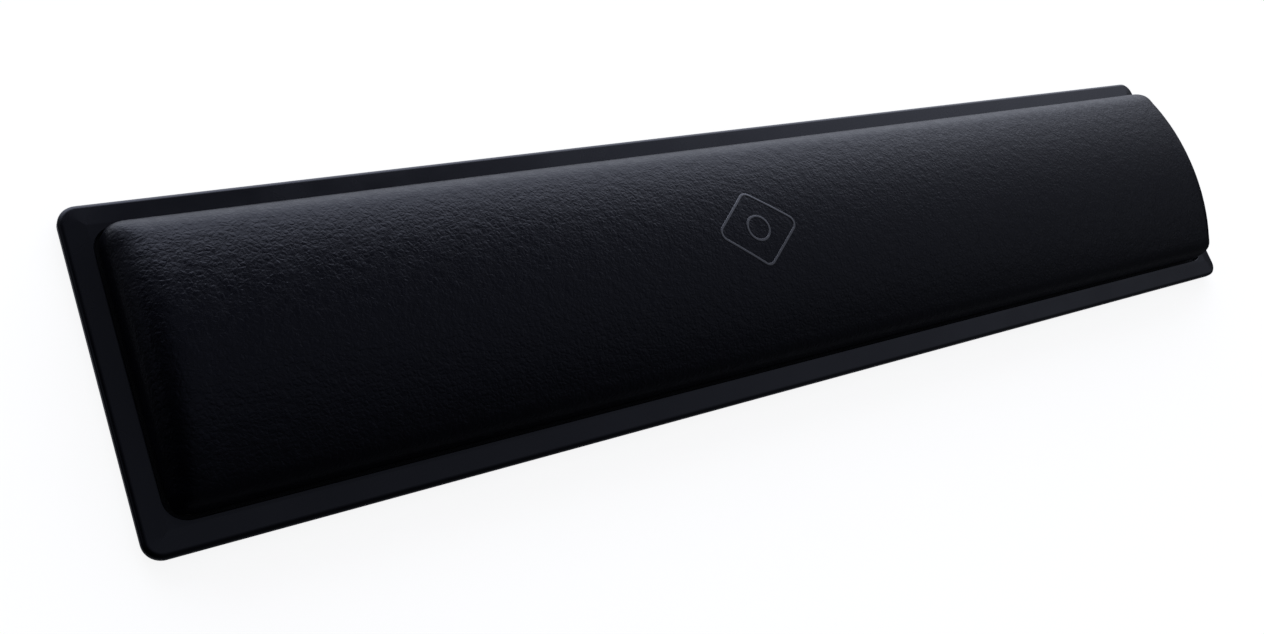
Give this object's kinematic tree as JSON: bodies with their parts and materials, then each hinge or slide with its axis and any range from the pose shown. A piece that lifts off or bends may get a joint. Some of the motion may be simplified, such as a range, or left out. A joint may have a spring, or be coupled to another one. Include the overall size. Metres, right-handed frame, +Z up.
{
  "type": "wrist rest",
  "caption": "Low padded wrist rest for a full-size keyboard: crowned leatherette cushion over foam, set in a thin rimmed base on rubber feet.",
  "frame": {"origin": "on the desk, under the middle of the base", "axes": "+X along the length, +Y from the user's side to the keyboard, +Z up"},
  "size_m": [0.443, 0.092, 0.0239],
  "materials": {
    "base_plastic": "fine satin texture, black with a blue cast",
    "plate_plastic": "coarse matt spark texture",
    "board": "plain sheet",
    "adhesive_tape": "double-sided tape",
    "adhesive_film": "clear dried adhesive",
    "memory_foam": "open-cell foam",
    "leatherette": "soft fine grain, low sheen",
    "emblem_foil": "thin grey foil",
    "foot_rubber": "matt silicone rubber"
  },
  "bodies": {
    "root": {"top_frame": "base_plastic", "bottom_plate": "plate_plastic", "cushion_board": "board", "cushion_tape_front": "adhesive_tape", "cushion_tape_back": "adhesive_tape", "foam_bond_film": "adhesive_film", "foam_core": "memory_foam", "top_cover": "leatherette", "emblem": "emblem_foil", "foot_front_left": "foot_rubber", "foot_front_middle": "foot_rubber", "foot_front_right": "foot_rubber", "foot_back_left": "foot_rubber", "foot_back_middle": "foot_rubber", "foot_back_right": "foot_rubber", "foot_tape_front_left": "adhesive_tape", "foot_tape_front_middle": "adhesive_tape", "foot_tape_front_right": "adhesive_tape", "foot_tape_back_left": "adhesive_tape", "foot_tape_back_middle": "adhesive_tape", "foot_tape_back_right": "adhesive_tape"}
  },
  "joints": []
}
